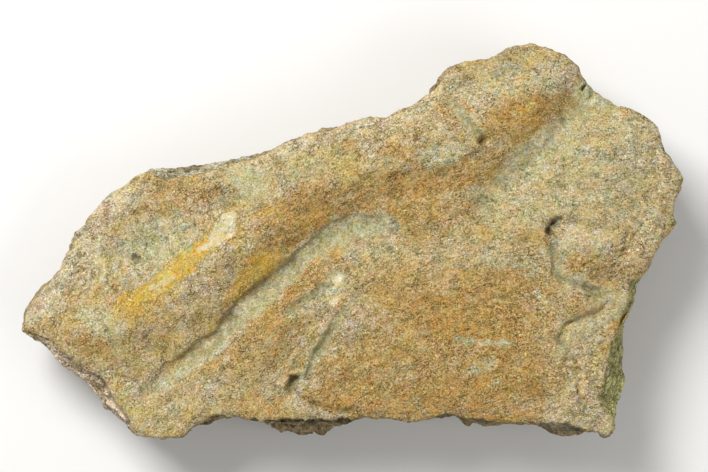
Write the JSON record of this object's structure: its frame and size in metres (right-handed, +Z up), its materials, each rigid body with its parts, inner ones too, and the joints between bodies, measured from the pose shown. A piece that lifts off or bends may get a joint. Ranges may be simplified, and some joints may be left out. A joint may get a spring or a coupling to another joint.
{
  "type": "fossil triceratops skull section",
  "caption": "Broken slab of mineralised horned-dinosaur skull bone with blood-vessel channels across its face, lying flat as a display specimen.",
  "frame": {"origin": "on the ground under the middle of the slab's bounding box", "axes": "+X along the length towards the thick end, +Y across it, +Z up out of the channelled outer face of the bone"},
  "size_m": [0.1898, 0.1148, 0.0392],
  "materials": {
    "fossil_bone": "matte"
  },
  "bodies": {
    "root": {"skull_section": "fossil_bone"}
  },
  "joints": []
}
